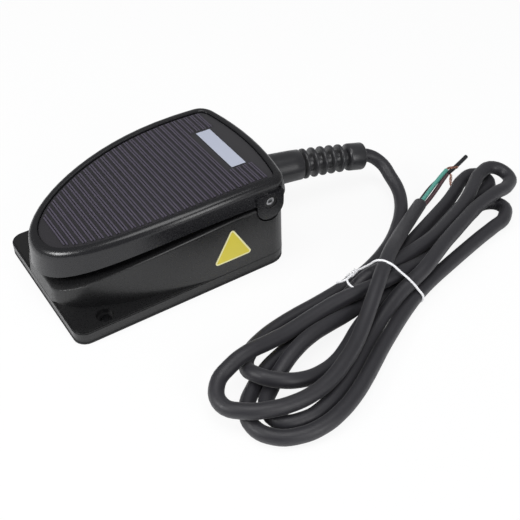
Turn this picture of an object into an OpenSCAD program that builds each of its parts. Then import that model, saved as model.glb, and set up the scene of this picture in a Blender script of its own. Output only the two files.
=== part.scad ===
// Industrial foot switch: a sprung pedal hinged at the rear of a low case that holds
// a lever microswitch, with a moulded cord boot and a free lead tied into a hank.
// Millimetres. +Z up, toe of the pedal towards -Y, cord exit towards +Y.

/* [Base] */
// Width of the case and its foot flange
base_w = 93.4; // [88:0.2:100]
// Thickness of the flange and floor of the case
flange_t = 5.2; // [4.2:0.1:6.2]
// Thickness of the steel bottom plate
plate_t = 1.8; // [1.2:0.1:2.6]
// Thickness of the rubber foot pad
pad_t = 1.2; // [0.8:0.1:2]
// Corner radius at the toe end of the flange
toe_corner_r = 7; // [4:0.5:9]
// Corner radius at the rear end of case and pedal
rear_corner_r = 11; // [9:0.5:13]
// Radius of the bowed rear edge
rear_bow_r = 150; // [130:5:220]

/* [Case wall] */
// Height of the wall's ledge at the rear, above the ground
ledge_h = 41.3; // [39:0.1:43]
// Radius of the long curve in which the ledge falls towards the toe
ledge_fall_r = 215; // [205:5:260]
// Thickness of the case wall
wall_t = 2.8; // [2.2:0.1:3.4]
// Distance of the dust lip from the pedal's outline
lip_in = 5.4; // [5:0.1:6]
// Height of the dust lip that stands inside the pedal skirt
lip_h = 4; // [2:0.5:5]
// Thickness of the dust lip
lip_t = 1.6; // [1.2:0.1:2.2]
// Inward lean of the case wall from flange to ledge
wall_draft = 1; // [0.4:0.1:1.6]
// Radius of the rounded edge of the ledge
ledge_edge_r = 1.2; // [0.8:0.1:1.6]

/* [Pedal] */
// Half width of the pedal at its lower edge
pedal_half_w = 44.6; // [44:0.1:45]
// Height of the pedal's rim at its crown, above the ground
crown_h = 54.3; // [53:0.1:57]
// Radius of the long curve of the pedal's top
crown_r = 305; // [280:5:360]
// Radius of the rounded rim
rim_r = 3.6; // [3:0.1:4.2]
// Width of the rim beside the tread mat
rim_w = 5.4; // [4.8:0.1:6]
// Depth of the recess for the tread mat
recess_d = 2.2; // [1.8:0.1:2.6]
// Thickness of the pedal's roof and skirt
shell_t = 2.2; // [1.8:0.1:2.6]
// Inward lean of the skirt from lower edge to rim
skirt_draft = 1; // [0.6:0.1:1.4]
// Angle that the pedal travels
pedal_travel = 2; // [1.6:0.1:2.2]

/* [Hinge] */
// Diameter of the hinge pin
pin_d = 5; // [4:0.1:5.4]
// Radius of the pedal's hinge ears
ear_r = 8.4; // [7.8:0.1:9]
// Height of the hinge axis above the ground
hinge_h = 43.4; // [42.6:0.1:44.2]
// Distance of the hinge axis from the rear edge of the case
hinge_back = 16.8; // [16.4:0.1:18]
// Thickness of the bearing lugs inside the case
lug_t = 5; // [4:0.5:6]

/* [Tread mat] */
// Number of cross ribs on the mat
rib_count = 28; // [22:1:30]
// Width of each of a rib's two ridges
ridge_w = 0.8; // [0.6:0.1:1]
// Height of the ridges
ridge_h = 0.7; // [0.5:0.1:0.9]
// Length of the rating label across the pedal
label_l = 38.4; // [34:0.2:39]
// Width of the rating label along the pedal
label_w = 9; // [7:0.5:11]

/* [Fixings] */
// Diameter of the mounting holes
mount_d = 5.2; // [4.5:0.1:5.6]
// Diameter of the mounting hole counterbores
mount_head_d = 9.6; // [9:0.1:10.4]
// Distance between the mounting holes
mount_pitch = 80; // [79:0.5:80.5]
// Distance of the mounting holes from the toe edge
mount_s = 18.5; // [17.5:0.5:19.5]
// Thread diameter of the screws in the bottom plate
plate_screw_d = 4; // [3.5:0.5:4.5]

/* [Switch] */
// Length of the microswitch body
switch_l = 27.8; // [26:0.2:30]
// Thickness of the microswitch body
switch_t = 10.3; // [9.5:0.1:11]
// Height of the microswitch body
switch_h = 15.9; // [15:0.1:17]
// Diameter of the lever's roller
roller_d = 4.8; // [4.2:0.1:5.4]
// Outer diameter of the return spring
spring_d = 14; // [12:0.5:16]
// Wire diameter of the return spring
spring_wire = 1.6; // [1.2:0.1:2]
// Number of turns of the return spring
spring_turns = 7; // [5:1:8]

/* [Cord] */
// Diameter of the cord
cord_d = 8; // [7.6:0.1:8.4]
// Diameter of the boot where it meets the case
boot_d = 20; // [18:0.5:21]
// Number of discs on the boot
boot_discs = 5; // [4:1:7]
// Diameter of the insulated cores
core_d = 2.6; // [2.2:0.1:3]

/* [Hidden] */
$fn = 48;
eps = 0.01;
fit = 0.05;         // running clearance on a radius
gap = 0.3;          // space between separate bodies
seat = 0.02;        // space between pieces that only touch

// heights from the ground up
plate_z = pad_t;
floor_z = pad_t + plate_t;
deck_z = floor_z + flange_t;

// the length runs in s, from the toe edge of the flange to the rear
base_l = 134.4;                   // toe edge to the middle of the bowed rear edge
pedal_over = 2.4;                 // how far the pedal's rear edge stands past the case
length = base_l + pedal_over;
toe_over = 1.5;                   // how far the pedal's toe stands past the toe edge
function yy(s) = s - (length - toe_over) / 2;
half_w = base_w / 2;
hinge_s = base_l - hinge_back;

// the case wall: a long side arc and a tight toe arc that meet tangent to each other
side_arc_r = 182.5;
side_arc_s = 88.9;
side_turn = 23.3;
toe_arc_x = half_w - side_arc_r * (1 - cos(side_turn));
toe_arc_r = toe_arc_x / cos(side_turn);
toe_arc_s = side_arc_s - side_arc_r * sin(side_turn) + toe_arc_r * sin(side_turn);

// the pedal's plan: a superellipse from the toe to its widest place
nose_s = 107.3;
nose_l = nose_s + toe_over;
nose_n = 2.18;
crown_s = 104.5;
skirt_gap = 1.1;                  // space under the skirt at the hinge, pedal up
rest_lift = tan(pedal_travel) + 0.003;

function mirror_ring(p) = concat(p, [for (i = [len(p) - 2 : -1 : 1]) [-p[i][0], p[i][1], p[i][2]]]);
function arc(c, r, a0, a1, n) = [for (i = [0 : n]) c + r * [cos(a0 + (a1 - a0) * i / n), sin(a0 + (a1 - a0) * i / n)]];

// right half of the rear: straight side, corner arc and the bowed edge up to the centre line
function rear_half(w, s0, s_mid, r, bow) = let (
        cx = w - r,
        reach = bow - r,
        cs = s_mid - bow + sqrt(reach * reach - cx * cx),
        turn = acos(cx / reach))
    concat(
        [for (i = [1 : 4]) [w, s0 + (cs - s0) * i / 5]],
        arc([cx, cs], r, 0, turn, 6),
        [for (i = [1 : 4]) let (a = turn + (90 - turn) * i / 4) [bow * cos(a), s_mid - bow + bow * sin(a)]]);

function case_half(inset) = let (
        nose = concat(
            [for (i = [0 : 7]) let (a = 90 - (90 - side_turn) * i / 8)
                [(toe_arc_r - inset) * cos(a), toe_arc_s - (toe_arc_r - inset) * sin(a)]],
            [for (i = [0 : 10]) let (a = side_turn * (1 - i / 10))
                [half_w - side_arc_r + (side_arc_r - inset) * cos(a), side_arc_s - (side_arc_r - inset) * sin(a)]]),
        tail = rear_half(half_w - inset, side_arc_s, base_l - inset, rear_corner_r - inset * 0.9,
            rear_bow_r - inset))
    [for (p = concat(nose, tail)) [p[0], max(p[1], inset)]];

function pedal_half(inset) = let (w = pedal_half_w - inset, l = nose_l - inset,
        nose = [for (i = [0 : 18]) let (a = 90 * (1 - i / 18))
            [w * pow(cos(a), 2 / nose_n), nose_s - l * pow(sin(a), 2 / nose_n)]],
        tail = rear_half(w, nose_s, length - inset, rear_corner_r - inset * 0.9, rear_bow_r - inset))
    concat(nose, tail);

// height laws along s
function ledge_z(s) = ledge_h - pow(max(0, crown_s - s), 2) / (2 * ledge_fall_r);
function crown_z(s) = crown_h - pow(crown_s - s, 2) / (2 * crown_r);
function ceiling_z(s) = crown_z(s) - recess_d - shell_t;
function skirt_z(s) = ledge_z(s) + skirt_gap + rest_lift * max(0, hinge_s - s);

function ring(half, f) = mirror_ring([for (p = half) [p[0], yy(p[1]), f(p[1])]]);
function flat_ring(half, z) = ring(half, function (s) z);

// skin between rings of equal length, which run down the outside; capped with strips across X, or closed on itself
module loft(rings, closed = false) {
    n = len(rings[0]);
    m = n / 2;
    k = len(rings);
    last = closed ? k - 1 : k - 2;
    walls = [for (j = [0 : last], i = [0 : n - 1]) let (a = j * n + i, b = j * n + (i + 1) % n,
        c = ((j + 1) % k) * n + (i + 1) % n, d = ((j + 1) % k) * n + i)
        each [[a, b, c], [a, c, d]]];
    strips = function (o) concat([[o, o + 1, o + n - 1]],
        [for (i = [1 : m - 2]) [o + i, o + i + 1, o + n - i - 1, o + n - i]],
        [[o + m - 1, o + m, o + m + 1]]);
    flip = function (f) [for (q = f) [for (i = [len(q) - 1 : -1 : 0]) q[i]]];
    caps = closed ? [] : concat(flip(strips(0)), strips((k - 1) * n));
    polyhedron([for (r = rings) each r], concat(walls, caps), convexity = 8);
}

// plan outlines of the flat pieces
module base_outline(inset = 0) {
    r = toe_corner_r - inset;
    w = half_w - inset;
    half = concat([[0, inset]], arc([w - r, inset + r], r, -90, 0, 6),
        rear_half(w, toe_corner_r + 20, base_l - inset, rear_corner_r - inset, rear_bow_r - inset));
    polygon([for (p = mirror_ring([for (p = half) [p[0], yy(p[1]), 0]])) [p[0], p[1]]]);
}

plate_screws_at = [for (x = [-1, 1], s = [30, 112]) [x * 25, yy(s)]];
mounts_at = [for (x = [-1, 1]) [x * mount_pitch / 2, yy(mount_s)]];
module at(places, z = 0) for (p = places) translate([p[0], p[1], z]) children();

// ------------------------------------------------------------------ case and base

seal_t = 1.6;
seal_inset = 1.5;
mount_head_t = 2.6;               // depth of the mounting counterbores
sleeve_t = 0.8;
flange_edge = 1.3;
boss_h = 9;
switch_s = 66;                    // middle of the microswitch, from the toe
bracket_x = 12;                   // bracket screws from the centre line
bracket_s = [switch_s - 10, switch_s + 10];
spring_s = 36;
boot_z = 25;
boot_hole_d = 15;
ear_drop = 3;                     // how far the ears' round ends lie below the axis
hinge_y = yy(hinge_s);
bumper_s = 14;
bumper_x = 12;
bumper_d = 8;
bumper_top = ceiling_z(bumper_s - bumper_d / 2)
    - tan(pedal_travel) * (hinge_s - bumper_s + bumper_d / 2) - gap;
bumper_z = bumper_top - 5;
clamp_z = 19;                     // top of the bosses under the cord clamp
clamp_s = base_l - 26;
clamp_x = 9;
clamp_at = [for (x = [-1, 1]) [x * clamp_x, yy(clamp_s)]];
guide_screw_d = 4;
bracket_z = 14;                   // top of the bosses under the switch bracket

module case_wall() {
    er = ledge_edge_r;
    loft([
        flat_ring(case_half(wall_t), deck_z - 1),
        ring(case_half(wall_t + wall_draft + 0.6), function (s) ledge_z(s) - wall_t - 1.5),
        ring(pedal_half(lip_in + lip_t), function (s) ledge_z(s) - wall_t),
        ring(pedal_half(lip_in + lip_t), function (s) ledge_z(s) + lip_h),
        ring(pedal_half(lip_in), function (s) ledge_z(s) + lip_h),
        ring(pedal_half(lip_in), function (s) ledge_z(s)),
        ring(case_half(wall_draft + er), function (s) ledge_z(s)),
        ring(case_half(wall_draft + er * 0.29), function (s) ledge_z(s) - er * 0.29),
        ring(case_half(wall_draft), function (s) ledge_z(s) - er),
        flat_ring(case_half(0.05), deck_z - 1)
    ], closed = true);
}

module case_bosses() {
    at(plate_screws_at, deck_z - eps) cylinder(d = plate_screw_d + 5, h = boss_h);
    for (x = [-1, 1]) case_lug(x);
    at(clamp_at, deck_z - eps) cylinder(d = 6.5, h = clamp_z - deck_z);
    translate([0, yy(spring_s), deck_z - eps]) difference() {
        cylinder(d = spring_d + 5, h = 4);
        translate([0, 0, 1]) cylinder(d = spring_d + 1, h = 4);
    }
    for (x = [-1, 1]) translate([x * bumper_x, yy(bumper_s), deck_z - eps]) cylinder(d = bumper_d + 2, h = bumper_z - deck_z);
    for (s = bracket_s) translate([bracket_x, yy(s), deck_z - eps]) cylinder(d = 7, h = bracket_z - deck_z);
    for (x = [-1, 1], s = [45, 80]) translate([x * 36 - 1, yy(s) - 5, deck_z - eps]) cube([2, 10, 10]);
}

lug_x = half_w - 12.6;            // inner face of the hinge lugs
lug_w = 18;
lug_r = 5.2;                      // the lug's rounded head stays clear of the pedal's roof
module case_lug(side) translate([side * (lug_x + lug_t / 2), hinge_y, hinge_h]) rotate([90, 0, 90])
    linear_extrude(lug_t, center = true) {
        circle(lug_r);
        polygon([[-lug_w / 2, deck_z - hinge_h - eps], [lug_w / 2, deck_z - hinge_h - eps], [lug_r, 0], [-lug_r, 0]]);
    }

module case() color([0.16, 0.16, 0.17]) difference() {
    union() {
        translate([0, 0, floor_z]) linear_extrude(flange_t - flange_edge) base_outline();
        translate([0, 0, deck_z - flange_edge - eps]) linear_extrude(flange_edge / 2 + eps) base_outline(0.3);
        translate([0, 0, deck_z - flange_edge / 2 - eps]) linear_extrude(flange_edge / 2 + eps)
            base_outline(0.9);
        difference() {
            case_wall();
            // the notches in which the pedal's hinge ears turn
            for (x = [-1, 1]) translate([x * half_w, hinge_y, hinge_h - ear_drop]) {
                rotate([0, 90, 0]) cylinder(r = ear_r + 0.7, h = 19, center = true);
                translate([-9.5, -ear_r - 0.7, 0]) cube([19, 2 * ear_r + 1.4, 20]);
            }
        }
        case_bosses();
        // socket of the boot behind the rear wall
        translate([0, yy(base_l - 8), boot_z]) rotate([-90, 0, 0]) cylinder(d = boot_hole_d + 5, h = 6);
    }
    translate([0, 0, floor_z - eps]) seal_band(0.1);
    translate([0, hinge_y, hinge_h]) rotate([0, 90, 0]) cylinder(d = pin_d, h = base_w, center = true);
    at(mounts_at, floor_z - 1) cylinder(d = mount_d + 2 * sleeve_t, h = flange_t + 2);
    at(mounts_at, deck_z - mount_head_t) cylinder(d = mount_head_d, h = 10);
    at(plate_screws_at, floor_z - 1) cylinder(d = plate_screw_d, h = boss_h + 1);
    translate([0, yy(base_l - 12), boot_z]) rotate([-90, 0, 0]) cylinder(d = boot_hole_d, h = 14);
    translate([0, yy(spring_s), deck_z - 3]) cylinder(d = guide_screw_d, h = 8);
    at(clamp_at, deck_z + 2) cylinder(d = 2.5, h = 20);
    for (s = bracket_s) translate([bracket_x, yy(s), deck_z + 1]) cylinder(d = 2.5, h = 20);
    for (x = [-1, 1]) translate([x * bumper_x, yy(bumper_s), bumper_z - 4]) cylinder(d = 4, h = 5);
}

module bottom_plate() color([0.2, 0.2, 0.21]) difference() {
    translate([0, 0, plate_z + seat]) linear_extrude(plate_t - 2 * seat) base_outline(0.2);
    at(mounts_at, plate_z - 1) cylinder(d = mount_d + 2 * sleeve_t, h = 9);
    at(plate_screws_at, plate_z - 1) cylinder(d = plate_screw_d + 0.4, h = 9);
    at(plate_screws_at, plate_z - eps) cylinder(d1 = plate_screw_d + 3.6, d2 = plate_screw_d + 0.4, h = 1.6);
}

module foot_pad() color([0.1, 0.1, 0.1]) difference() {
    linear_extrude(pad_t) base_outline(0);
    at(mounts_at, -1) cylinder(d = mount_d + 0.6, h = 9);
    at(plate_screws_at, -1) cylinder(d = plate_screw_d + 5, h = 9);
}

// cord seal in a groove of the floor's underside
module seal_band(clear) difference() {
    linear_extrude(seal_t + clear) base_outline(seal_inset - clear);
    translate([0, 0, -1]) linear_extrude(seal_t + 3) base_outline(seal_inset + seal_t + clear);
}
module plate_seal() color([0.25, 0.25, 0.25]) translate([0, 0, floor_z + seat]) seal_band(0);

module csk_screw(d, head, length, head_h) {
    cylinder(d1 = head, d2 = d, h = head_h);
    cylinder(d = d, h = length);
    cylinder(d = head, h = 0.2);
}

module plate_screws() color([0.6, 0.6, 0.62]) at(plate_screws_at, plate_z + 0.02) difference() {
    csk_screw(plate_screw_d - 0.06, plate_screw_d + 3.2, 9, 1.6);
    for (a = [0, 90]) rotate(a) translate([-1.8, -0.4, -1]) cube([3.6, 0.8, 1.7]);
}

module mount_sleeves() color([0.55, 0.55, 0.57]) at(mounts_at, plate_z + seat) difference() {
    cylinder(d = mount_d + 2 * sleeve_t - 0.04, h = deck_z - mount_head_t - plate_z);
    translate([0, 0, -1]) cylinder(d = mount_d, h = 20);
}

// yellow warning triangle without a sign, on the case wall
module sticker_outline(side, r) {
    h = side * sqrt(3) / 2;
    tips = [[-side / 2 + r * sqrt(3), r], [side / 2 - r * sqrt(3), r], [0, h - 2 * r]];
    for (i = [0 : 2]) translate(tips[i]) circle(r);
    polygon([for (i = [0 : 2], k = [0, 1]) let (a = 150 + 120 * (i + k)) tips[i] + r * [cos(a), sin(a)]]);
}
sticker_side = 24.4;
sticker_s = 92.9;
sticker_z = 15.4;
module wall_form(out) loft([
    ring(case_half(wall_draft - out), function (s) ledge_z(s) - ledge_edge_r),
    flat_ring(case_half(0.05 - out), deck_z - 1)]);
module warning_triangle() color([0.93, 0.8, 0.15]) intersection() {
    translate([half_w - 5, yy(sticker_s), sticker_z]) rotate([90, 0, 90]) linear_extrude(9)
        sticker_outline(sticker_side, 1.6);
    difference() {
        wall_form(0.26);
        wall_form(0.03);
    }
}

// ------------------------------------------------------------------ pedal

module pedal_skin() {
    mat_in = rim_w + skirt_draft;
    top = function (t) function (s) crown_z(s) - t;
    loft(concat(
        [ring(pedal_half(mat_in), top(recess_d)),
         ring(pedal_half(mat_in), top(0.5)),
         ring(pedal_half(mat_in - 0.5), top(0))],
        [for (a = [90 : -22.5 : 0]) ring(pedal_half(skirt_draft + rim_r * (1 - cos(a))),
            top(rim_r * (1 - sin(a))))],
        [ring(pedal_half(0), function (s) skirt_z(s)),
         ring(pedal_half(shell_t), function (s) skirt_z(s)),
         ring(pedal_half(shell_t + skirt_draft + 1), top(rim_r + 1)),
         ring(pedal_half(mat_in + 1), top(recess_d + shell_t))]));
}

ear_out = half_w - wall_draft - 0.2;
ear_t = ear_out - lug_x - lug_t - gap;
bush_d = pin_d + 3;
module ear_shape() {
    translate([0, -ear_drop]) circle(ear_r);
    translate([-ear_r, -ear_drop]) square([2 * ear_r, ear_drop + 5]);
}
module pedal_ear(side) translate([side * (ear_out - ear_t / 2), hinge_y, hinge_h])
    rotate([90, 0, 90]) linear_extrude(ear_t, center = true) ear_shape();

module pedal_shell() color([0.17, 0.17, 0.18]) difference() {
    union() {
        pedal_skin();
        for (x = [-1, 1]) pedal_ear(x);
        // sockets for the spring cup and the striker, and stiffening webs, all below the mat's recess
        intersection() {
            union() {
                translate([0, yy(spring_s), cup_top - socket_h]) cylinder(d = cup_d + 4, h = 9);
                translate([-6, yy(striker_s) - 6, striker_top - socket_h]) cube([12, 12, 9]);
                for (x = [-22, 22]) roof_web(x);
            }
            loft([ring(pedal_half(rim_w + 2), function (s) crown_z(s) - recess_d - 0.5),
                flat_ring(pedal_half(rim_w + 2), 20)]);
        }
    }
    translate([0, yy(spring_s), cup_top - socket_h - 1]) cylinder(d = cup_d + 0.1, h = socket_h + 1 + seat);
    translate([0, yy(striker_s), striker_top - socket_h - 1]) cylinder(d = striker_d + 0.1, h = socket_h + 1 + seat);
    for (x = [-1, 1]) translate([x * (ear_out - ear_t / 2), hinge_y, hinge_h]) rotate([0, 90, 0]) {
        cylinder(d = bush_d, h = ear_t + 2, center = true);
    }
}

module roof_web(x) translate([x - 0.8, 0, 0]) rotate([90, 0, 90]) linear_extrude(1.6)
    polygon(concat([for (s = [40 : 6 : 100]) [yy(s), ceiling_z(s) + 1]],
        [for (s = [100 : -6 : 40]) [yy(s), ceiling_z(s) - 4]]));

// a half-round-ended profile of the mat: body, and ridges in pairs across it
mat_play = 0.25;
mat_t = recess_d - ridge_h - 0.6;
rib_pitch = 3.95;
rib_gap = 1.35;
mat_inset = rim_w + skirt_draft + mat_play;
function mat_z(s) = crown_z(s) - recess_d + mat_t;
function nose_x(s, inset) = let (w = pedal_half_w - inset, l = nose_l - inset, u = (nose_s - s) / l)
    s > nose_s ? w : w * pow(max(0, 1 - pow(u, nose_n)), 1 / nose_n);
function rear_x(s, inset) = let (r = rear_corner_r - inset * 0.9, bow = rear_bow_r - inset,
        cx = pedal_half_w - inset - r, cs = length - inset - bow + sqrt(pow(bow - r, 2) - cx * cx))
    s < cs ? pedal_half_w - inset : s > cs + r ? 0 : cx + sqrt(max(0, r * r - pow(s - cs, 2)));
function mat_x(s, inset) = min(nose_x(s, inset), rear_x(s, inset));
label_s = length - 22.6;
land_s = label_s + 0.8;
land_l = label_l + 3;
land_w = label_w + 8;

module ridge(s, x0, x1) translate([(x0 + x1) / 2, yy(s), mat_z(s) - 0.2])
    rotate([atan((crown_s - s) / crown_r), 0, 0])
        translate([0, 0, (ridge_h + 0.2) / 2]) cube([x1 - x0, ridge_w, ridge_h + 0.2], center = true);

module rib_row(s) {
    w = mat_x(s + (s < 60 ? -1.2 : 1.2), mat_inset + 1.4);
    cut = abs(s - land_s) < land_w / 2;
    if (cut) {
        ridge(s, -w, -land_l / 2);
        ridge(s, land_l / 2, w);
    } else ridge(s, -w, w);
}

module tread_mat() color([0.2, 0.18, 0.22]) {
    loft([ring(pedal_half(mat_inset + 0.3), function (s) mat_z(s)),
          ring(pedal_half(mat_inset), function (s) mat_z(s) - 0.2),
          ring(pedal_half(mat_inset), function (s) crown_z(s) - recess_d + seat)]);
    for (i = [0 : rib_count - 1]) let (s = 13.5 + i * rib_pitch) {
        rib_row(s - rib_gap / 2);
        rib_row(s + rib_gap / 2);
    }
}

module rating_label() color([0.9, 0.9, 0.92])
    translate([0, yy(label_s), mat_z(label_s) + 0.12]) rotate([atan((crown_s - label_s) / crown_r), 0, 0])
        translate([-label_l / 2, -label_w / 2, 0]) cube([label_l, label_w, 0.3]);

// bushes pressed into the ears, which turn on the pin
module hinge_bushes() color([0.85, 0.84, 0.8]) for (x = [-1, 1])
    translate([x * (ear_out - ear_t / 2), hinge_y, hinge_h]) rotate([0, 90, 0]) difference() {
        cylinder(d = bush_d - 0.04, h = ear_t - 0.6, center = true);
        cylinder(d = pin_d + 2 * fit, h = ear_t + 2, center = true);
    }

module hinge_pin() color([0.8, 0.8, 0.82]) difference() {
    translate([0, hinge_y, hinge_h]) rotate([0, 90, 0]) cylinder(d = pin_d - 0.04, h = 2 * (ear_out - 0.6), center = true);
    for (x = [-1, 1]) translate([x * (ear_out - 0.6), hinge_y, hinge_h]) rotate([0, 90, 0])
        cylinder(d = 2.9, h = 4, center = true, $fn = 6);
}

cup_d = spring_d + 5;
socket_h = 3;                     // depth of the sockets under the pedal's roof
cup_top = ceiling_z(spring_s - cup_d / 2) - 0.4;
cup_h = socket_h + 1.2;
cup_rim = 1.1;                    // height of the cup's rim below its socket
module spring_cup() color([0.75, 0.75, 0.72]) translate([0, yy(spring_s), cup_top - cup_h]) difference() {
    union() {
        cylinder(d = cup_d - 0.1, h = cup_h);
        cylinder(d = cup_d + 2, h = cup_rim);
    }
    translate([0, 0, -1]) cylinder(d = spring_d + 1, h = cup_h - 0.6);
}

striker_s = 58;
striker_d = 6;
roller_s = striker_s;
pivot_s = 78;
switch_z = 18;                    // underside of the microswitch body
pivot_z = switch_z + switch_h + 0.9;
lever_rise = 4.6;
roller_z = pivot_z + lever_rise;
striker_end = roller_z + roller_d / 2 + gap;
striker_top = ceiling_z(striker_s - striker_d / 2) + 0.4;
module striker() color([0.85, 0.84, 0.8]) translate([0, yy(striker_s), 0]) {
    translate([0, 0, striker_end]) cylinder(d = striker_d, h = striker_top - striker_end);
    translate([0, 0, striker_end + gap]) cylinder(d = striker_d + 2.4,
        h = striker_top - socket_h - 2 * seat - striker_end - gap);
}

// ------------------------------------------------------------------ springs and swept pieces

function unit(v) = v / norm(v);
// sweep a circle along points; the ring's frame is kept upright
module sweep(points, r, sides) {
    n = len(points);
    dir = [for (i = [0 : n - 1]) unit(points[min(i + 1, n - 1)] - points[max(i - 1, 0)])];
    side = [for (d = dir) let (c = cross(d, [0, 0, 1])) norm(c) < 0.05 ? [1, 0, 0] : unit(c)];
    verts = [for (i = [0 : n - 1], k = [0 : sides - 1]) let (a = 360 * (k + 0.5) / sides)
        points[i] + r * (cos(a) * side[i] + sin(a) * cross(side[i], dir[i]))];
    walls = [for (i = [0 : n - 2], k = [0 : sides - 1]) let (a = i * sides + k, b = i * sides + (k + 1) % sides)
        each [[a, b, b + sides], [a, b + sides, a + sides]]];
    polyhedron(verts, concat([[for (k = [sides - 1 : -1 : 0]) k]], walls,
        [[for (k = [0 : sides - 1]) (n - 1) * sides + k]]), convexity = 10);
}

// smooth curve through the points of a route, with `steps` places between neighbours
function spline(p, steps) = let (n = len(p)) concat([for (i = [0 : n - 2], k = [0 : steps - 1]) let (
        t = k / steps, a = p[max(i - 1, 0)], b = p[i], c = p[i + 1], d = p[min(i + 2, n - 1)])
    0.5 * (2 * b + (c - a) * t + (2 * a - 5 * b + 4 * c - d) * t * t + (3 * b - a - 3 * c + d) * t * t * t)],
    [p[n - 1]]);
function place(route) = [for (p = route) [p[0], yy(p[1]), p[2]]];

spring_z0 = deck_z + 1 + spring_wire / 2 + 0.05;
spring_z1 = cup_top - 1.6 - spring_wire / 2 - 0.05;
module return_spring() color([0.7, 0.7, 0.72]) {
    steps = 14;
    n = spring_turns * steps;
    pitch_law = function (u) u < 0.12 ? u * 0.35 : u > 0.88 ? 1 - (1 - u) * 0.35 : 0.042 + (u - 0.12) * 0.916 / 0.76;
    sweep([for (i = [0 : n]) let (u = i / n, a = 360 * i / steps)
        [(spring_d - spring_wire) / 2 * cos(a), yy(spring_s) + (spring_d - spring_wire) / 2 * sin(a),
         spring_z0 + (spring_z1 - spring_z0) * pitch_law(u)]], spring_wire / 2, 6);
}

module spring_guide() color([0.6, 0.6, 0.62]) translate([0, yy(spring_s), deck_z + 1 + seat]) {
    cylinder(d = spring_d - 2 * spring_wire - 1, h = 10);
    translate([0, 0, -3.9]) cylinder(d = guide_screw_d - 0.06, h = 4);
}

module stop_bumpers() color([0.12, 0.12, 0.12]) for (x = [-1, 1])
    translate([x * bumper_x, yy(bumper_s), bumper_z + seat]) {
        cylinder(d = bumper_d, h = bumper_top - bumper_z - seat);
        translate([0, 0, -3.5]) cylinder(d = 3.9, h = 4);
    }

// ------------------------------------------------------------------ microswitch

bracket_t = 1.5;
switch_hole_s = 22.2 / 2;
module bracket_plan() {
    translate([switch_t / 2 + seat, yy(switch_s - switch_l / 2 + 0.5)]) square([18 - switch_t / 2, switch_l - 1]);
}
module switch_bracket() color([0.75, 0.76, 0.78]) difference() {
    union() {
        translate([0, 0, bracket_z + seat]) linear_extrude(bracket_t) bracket_plan();
        translate([switch_t / 2 + seat, yy(switch_s - switch_l / 2 + 0.5), bracket_z + seat])
            cube([bracket_t, switch_l - 1, 17]);
    }
    for (s = bracket_s) translate([bracket_x, yy(s), 0]) cylinder(d = 3.3, h = 30);
    for (s = [-1, 1]) translate([0, yy(switch_s + switch_hole_s * s), switch_z + 3]) rotate([0, 90, 0])
        cylinder(d = 3, h = 20);
}
module bracket_screws() color([0.7, 0.7, 0.72]) for (s = bracket_s)
    translate([bracket_x, yy(s), bracket_z + bracket_t + 2 * seat]) difference() {
        union() {
            cylinder(d = 5.5, h = 2);
            translate([0, 0, -5]) cylinder(d = 2.46, h = 6);
        }
        translate([-2, -0.35, 1.2]) cube([4, 0.7, 2]);
    }

module switch_body() color([0.25, 0.08, 0.08]) difference() {
    union() {
        translate([-switch_t / 2, yy(switch_s - switch_l / 2), switch_z]) cube([switch_t, switch_l, switch_h]);
        translate([-switch_t / 2, yy(pivot_s) - 1.6, switch_z + switch_h - 1]) cube([1.6, 3.2, 3]);
        translate([switch_t / 2 - 1.6, yy(pivot_s) - 1.6, switch_z + switch_h - 1]) cube([1.6, 3.2, 3]);
    }
    translate([0, yy(pivot_s), pivot_z]) rotate([0, 90, 0]) cylinder(d = 1.6, h = 20, center = true);
    translate([0, yy(plunger_s), switch_z + switch_h - 3]) cylinder(d = plunger_d + 2 * fit, h = 9);
    for (s = [-1, 1]) translate([0, yy(switch_s + switch_hole_s * s), switch_z + 3]) rotate([0, 90, 0])
        cylinder(d = 3, h = 20, center = true);
    for (s = terminals_s) translate([-3.2, yy(s) - 0.5, switch_z - 1]) cube([6.4, 1, 2.1]);
}

module switch_screws() color([0.7, 0.7, 0.72]) for (s = [-1, 1])
    translate([0, yy(switch_s + switch_hole_s * s), switch_z + 3]) rotate([0, 90, 0]) {
        translate([0, 0, -switch_t / 2 - 1]) cylinder(d = 2.94, h = switch_t + bracket_t + 3.4);
        translate([0, 0, -switch_t / 2 - 2]) cylinder(d = 5.4, h = 2 - seat);
        translate([0, 0, switch_t / 2 + bracket_t + 2 * seat]) cylinder(d = 5.8, h = 2, $fn = 6);
    }

terminals_s = [56, 67, 77];
module switch_terminals() color([0.8, 0.68, 0.35]) for (s = terminals_s) difference() {
    translate([-3.15, yy(s) - 0.4, switch_z - 6.4]) cube([6.3, 0.8, 7.4]);
    translate([0, yy(s), switch_z - 4]) rotate([90, 0, 0]) cylinder(d = 1.8, h = 3, center = true);
}

plunger_s = 72;
plunger_d = 2.6;
lever_l = pivot_s - roller_s;
lever_a = atan(lever_rise / lever_l);
lever_t = 0.5;
plunger_z = switch_z + switch_h - 2;
plunger_top = pivot_z + (pivot_s - plunger_s) * tan(lever_a) - lever_t / 2 / cos(lever_a) - gap;
module switch_plunger() color([0.9, 0.3, 0.1]) translate([0, yy(plunger_s), plunger_z])
    cylinder(d = plunger_d, h = plunger_top - plunger_z);

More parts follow.
